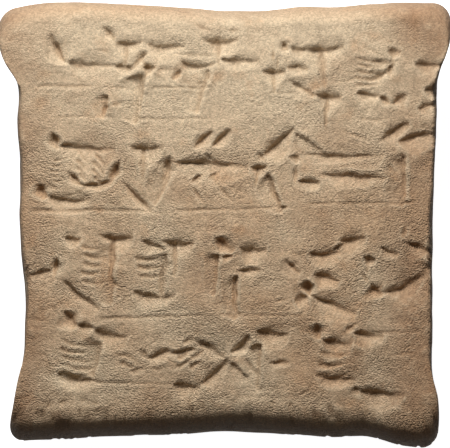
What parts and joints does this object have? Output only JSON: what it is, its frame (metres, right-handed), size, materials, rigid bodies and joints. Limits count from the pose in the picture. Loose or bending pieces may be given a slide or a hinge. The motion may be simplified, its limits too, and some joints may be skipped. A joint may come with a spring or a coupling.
{
  "type": "cuneiform tablet",
  "caption": "Small square pillow-shaped clay tablet with flared corners and lines of wedge-shaped stylus marks pressed into its upper face.",
  "frame": {"origin": "on the plane that the tablet lies on, under the centre of its bounding box", "axes": "+Z out of the written face, +Y to the top edge of the writing, +X to the right of the writing"},
  "size_m": [0.0449, 0.0445, 0.016],
  "materials": {
    "clay": "dry matt buff clay, slightly sandy, with pinkish, orange and grey-green stains"
  },
  "bodies": {
    "root": {"tablet": "clay"}
  },
  "joints": []
}
